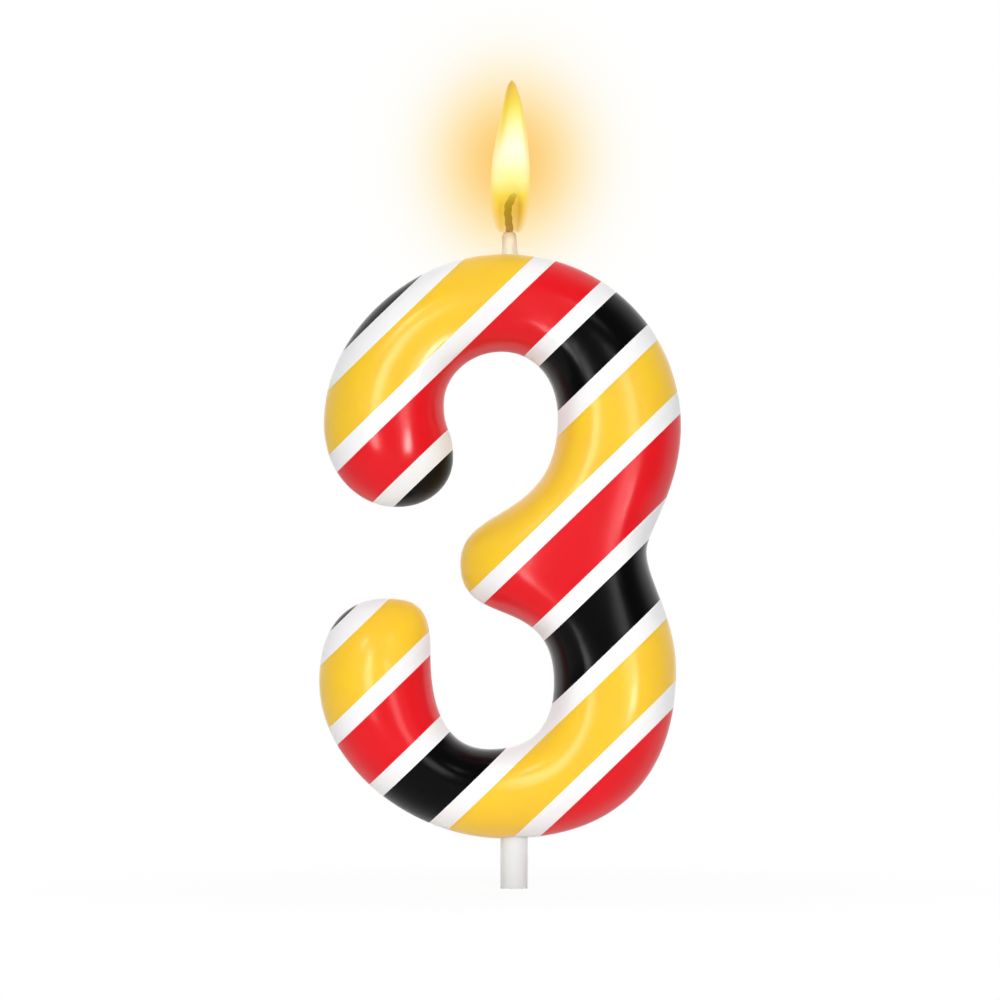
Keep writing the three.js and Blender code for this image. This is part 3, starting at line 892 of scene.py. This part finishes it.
def build_wick():
    """The braided wick: strands that wind both ways round its middle line."""
    line = smooth_line(WICK_LINE, WICK_STEPS)
    path = np.stack([line[:, 1], np.zeros(len(line)), line[:, 0]], 1)
    side, other = square_to(path)
    gone = distances_along(path)
    near_end = np.clip((gone[-1] - gone) / TIP_LENGTH, 0, 1)
    taper = TIP_SHARE + (1 - TIP_SHARE) * np.sqrt(near_end)
    points, faces, count = [], [], 0
    for strand in range(STRANDS):
        for turn_way in (1, -1):
            angle = turn_way * 2 * np.pi * gone / BRAID_PITCH + strand * 2 * np.pi / STRANDS
            out = np.cos(angle)[:, None] * side + BRAID_FLATNESS * np.sin(angle)[:, None] * other
            ragged = 1 + RAGGEDNESS * np.sin(gone * RAGGED_WAVES + strand)
            middle = path + BRAID_RADIUS * taper[:, None] * out
            p, f = tube(middle, STRAND_RADIUS * taper * ragged, STRAND_SIDES)
            points.append(p)
            faces += [[i + count for i in face] for face in f]
            count += len(p)
    obj = new_object("wick_braid", np.concatenate(points), faces, cotton_material())
    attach(obj, "candle")
    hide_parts("wick")


def lathe(profile, sides, middle=None, wobble=None):
    """Points and faces of a turned shape, from rows of radius and height. A function of the height
    can give its middle's x, and one of angle and height how much wider it is, as a share."""
    points, faces = [], []
    for radius, height in profile:
        for k in range(sides):
            angle = 2 * math.pi * k / sides
            r = radius * (1 + (wobble(angle, height) if wobble else 0))
            centre = middle(height) if middle else 0.0
            points.append((centre + r * math.cos(angle), r * math.sin(angle), height))
    for row in range(len(profile) - 1):
        for k in range(sides):
            nxt = (k + 1) % sides
            low, high = row * sides, (row + 1) * sides
            faces.append([low + k, low + nxt, high + nxt, high + k])
    return np.array(points), faces


def closed(obj):
    """The turned object with the points at its ends and on its middle made one, facing outward."""
    bm = bmesh.new()
    bm.from_mesh(obj.data)
    bmesh.ops.remove_doubles(bm, verts=bm.verts, dist=SAME_POINT * MM)
    bmesh.ops.recalc_face_normals(bm, faces=bm.faces)
    bm.to_mesh(obj.data)
    bm.free()
    shade_smooth(obj.data)
    return obj


# The wax coat on the wick: its middle, how deep it sits in the digit, and how far it stands out.
COAT_X = -0.59
COAT_DEPTH = 1.2
COAT_HEIGHT = 2.75
COAT_SIDES = 40


def build_coat():
    """The wax coat on the wick, a little uneven all round."""
    foot = DIGIT_HEIGHT + STICK_SHOWN
    top = foot + COAT_HEIGHT
    profile = [
        (0.0, foot - COAT_DEPTH), (0.99, foot - COAT_DEPTH), (1.02, foot - 0.3),
        (1.12, foot - 0.06), (1.04, foot + 0.16), (0.97, foot + 0.45), (0.95, foot + 1.1),
        (0.94, foot + 1.8), (0.92, foot + 2.2), (0.84, foot + 2.5), (0.70, top - 0.06),
        (0.55, top), (0.0, top - 0.02),
    ]

    def wobble(angle, height):
        return 0.03 * math.sin(3 * angle + 1.4 * height) + 0.02 * math.sin(5 * angle - 2.2 * height)

    points, faces = lathe(profile, COAT_SIDES, lambda height: COAT_X, wobble)
    obj = closed(new_object("wick_wax_sleeve", points, faces, coat_material()))
    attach(obj, "candle")
    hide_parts("wick_wax_coat")


# How much the stick's sharp edges are broken, outside and inside, and its sides.
OUTER_BREAK = 0.06
INNER_BREAK = 0.05
STICK_SIDES = 72


def build_stick():
    radius, bore = STICK_RADIUS, STICK_RADIUS - STICK_WALL
    profile = [
        (bore, INNER_BREAK), (bore + INNER_BREAK, 0.0), (radius - OUTER_BREAK, 0.0),
        (radius, OUTER_BREAK), (radius, STICK_TOP - OUTER_BREAK), (radius - OUTER_BREAK, STICK_TOP),
        (bore + INNER_BREAK, STICK_TOP), (bore, STICK_TOP - INNER_BREAK), (bore, INNER_BREAK),
    ]
    points, faces = lathe(profile, STICK_SIDES)
    obj = closed(new_object("stick_tube", points, faces, stick_material()))
    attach(obj, "stick")
    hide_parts("stick")


# The hollow under the flame, round the wick: radius and height.
FLAME_HOLLOW = [
    (0.0, 90.2), (0.66, 89.9), (1.12, 88.6), (1.2, 87.0), (1.08, 85.4), (1.0, 84.5), (1.1, 84.12),
]
FLAME_STEPS = 60
FLAME_SIDES = 56


def build_flame():
    """The flame: its outside, and the hollow that it has round the wick."""
    heights, middles, halves = smooth_line(FLAME_ROWS, FLAME_STEPS).T
    outer = [(max(float(half), 0.0), float(height)) for height, half in zip(heights, halves)]
    outer[-1] = (0.0, outer[-1][1])

    def middle(height):
        return float(np.interp(height, heights, middles))

    points, faces = lathe(FLAME_HOLLOW + outer, FLAME_SIDES, middle)
    obj = closed(new_object("flame_body", points, faces, flame_material()))
    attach(obj, "candle")
    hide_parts("flame")


# The floor is small, so that low lamps reach the object.
FLOOR_RADIUS = 0.2
FLOOR_SIDES = 96

# The lamps all aim at one point. Strips in front give gloss its highlights and light nothing else.
# Each has its turn to the right and its tilt up from the front in degrees, its width and height,
# and its power.
AIM = (0.0, 0.0, 0.045)
STRIP_DISTANCE = 0.9
STRIPS = (
    ("strip_left", -13, 9, (0.13, 0.38), 2.1),
    ("strip_right", 13, 4, (0.13, 0.26), 0.9),
    ("high_strip_left", -26, 30, (0.13, 0.17), 0.9),
    ("high_strip_right", 19, 30, (0.13, 0.17), 0.25),
    ("low_strip_left", -16, -11, (0.12, 0.17), 1.6),
    ("low_strip_right", 20, -11, (0.12, 0.17), 4.0),
)

# Fills at the four corners and a lamp on top give the soft light, and no highlights.
FILL_PLACE = (0.42, 1.05, 0.42)
FILL_SIZE = 0.8
FILL_POWER = 5.8
TOP_DISTANCE = 1.1
TOP_SIZE = 0.9
TOP_POWER = 2.6

# The world: its light, how much of the white background gloss sees in front of the object, and how
# far forward a direction points where that starts and ends to grow to all of it.
WORLD_STRENGTH = 0.22
FRONT_STRENGTH = 0.2
FRONT_TO_BACK = (-0.3, 0.4)

# The flame's glow on the background: its place and size are slopes of the view, sideways or up for
# each step forward. It takes red, green and blue away in these shares.
GLOW_X = 0.0012
GLOW_Z = 0.0406
GLOW_WIDTH = 0.0076
GLOW_HEIGHT = 0.0087
GLOW_DEPTH = 1.8
GLOW_TAKES = {"Red": 0.006, "Green": 0.29, "Blue": 1.0}
LEAST_FORWARD = 0.01

# The camera: its lens and sensor in millimetres, how wide it sees at the object, and the middle
# of what it sees.
LENS = 300
SENSOR = 36
SEEN_WIDTH = 0.1282
SEEN_X = -0.0018
SEEN_Z = 0.0498
FARTHEST = 50


def build_stage():
    """The floor, which isn't a part of the object."""
    bm = bmesh.new()
    bmesh.ops.create_circle(bm, cap_ends=True, segments=FLOOR_SIDES, radius=FLOOR_RADIUS)
    mesh = bpy.data.meshes.new("floor")
    bm.to_mesh(mesh)
    bm.free()
    mesh.materials.append(floor_material())
    floor = bpy.data.objects.new("floor", mesh)
    bpy.context.scene.collection.objects.link(floor)


def lamp(name, place, width, height, power, diffuse=True, glossy=True):
    """A lamp that the camera doesn't see, and that can be kept out of diffuse light or of gloss."""
    data = bpy.data.lights.new(name, "AREA")
    data.shape = "RECTANGLE"
    data.size, data.size_y = width, height
    data.energy = power
    obj = bpy.data.objects.new(name, data)
    obj.location = place
    obj.rotation_euler = (Vector(AIM) - Vector(place)).to_track_quat("-Z", "Y").to_euler()
    obj.visible_camera = False
    obj.visible_diffuse = diffuse
    obj.visible_glossy = glossy
    bpy.context.scene.collection.objects.link(obj)


def build_world():
    """Soft light on the object, and behind it a white background with the flame's warm glow."""
    n = Nodes("studio", bpy.data.worlds, "ShaderNodeOutputWorld")
    way = n.add("ShaderNodeTexCoord").outputs["Generated"]
    way = n.add("ShaderNodeSeparateXYZ", {"Vector": way}).outputs
    forward = n.maths("MAXIMUM", way["Y"], LEAST_FORWARD)

    def off(part, middle, size):
        slope = n.maths("DIVIDE", part, forward)
        return n.maths("DIVIDE", n.maths("SUBTRACT", slope, middle), size)

    def fading(value):
        return n.maths("POWER", math.e, value)

    away = n.sum_of_squares(off(way["X"], GLOW_X, GLOW_WIDTH), off(way["Z"], GLOW_Z, GLOW_HEIGHT))
    bell = fading(n.maths("MULTIPLY", away, -1.0))
    ahead = n.maths("GREATER_THAN", way["Y"], 0.0)
    depth = n.maths("MULTIPLY", n.maths("MULTIPLY", bell, ahead), GLOW_DEPTH)
    tint = n.add("ShaderNodeCombineColor", {
        channel: fading(n.maths("MULTIPLY", depth, -share)) for channel, share in GLOW_TAKES.items()
    })
    # Gloss sees the white background behind the object, and less of it in front, which keeps black
    # wax black.
    glossy = n.add("ShaderNodeLightPath").outputs["Is Glossy Ray"]
    behind = n.eased(way["Y"], *FRONT_TO_BACK, FRONT_STRENGTH, 1.0)
    level = n.maths("MAXIMUM", behind, n.maths("SUBTRACT", 1.0, glossy))
    soft = n.add("ShaderNodeBackground", {"Color": (1, 1, 1, 1), "Strength": WORLD_STRENGTH})
    plain = n.add("ShaderNodeBackground", {"Color": tint.outputs[0], "Strength": level})
    both = n.add("ShaderNodeMixShader", {"Fac": n.seen(), 1: soft.outputs[0], 2: plain.outputs[0]})
    bpy.context.scene.world = n.finish(both)


def build_lamps():
    """The strips in front, the fills at the corners and the lamp on top."""
    for name, turn, tilt, size, power in STRIPS:
        turn, tilt = math.radians(turn), math.radians(tilt)
        level = STRIP_DISTANCE * math.cos(tilt)
        height = AIM[2] + STRIP_DISTANCE * math.sin(tilt)
        spot = (level * math.sin(turn), -level * math.cos(turn), height)
        lamp(name, spot, *size, power, diffuse=False)
    x, y, z = FILL_PLACE
    for side, sideways in (("left", -x), ("right", x)):
        for end, forward in (("front", -y), ("back", y)):
            spot = (sideways, forward, z)
            lamp(f"fill_{end}_{side}", spot, FILL_SIZE, FILL_SIZE, FILL_POWER, glossy=False)
    lamp("top", (0.0, 0.0, TOP_DISTANCE), TOP_SIZE, TOP_SIZE, TOP_POWER, glossy=False)


def build_camera():
    data = bpy.data.cameras.new("camera")
    data.lens = LENS
    data.sensor_width = SENSOR
    data.clip_end = FARTHEST
    camera = bpy.data.objects.new("camera", data)
    camera.location = (SEEN_X, -SEEN_WIDTH * LENS / SENSOR, SEEN_Z)
    camera.rotation_euler = (math.pi / 2, 0, 0)
    bpy.context.scene.collection.objects.link(camera)
    bpy.context.scene.camera = camera


build_camera()
build_digit()
build_wick()
build_coat()
build_stick()
build_flame()
build_stage()
build_world()
build_lamps()
bpy.context.scene.view_settings.view_transform = "Standard"
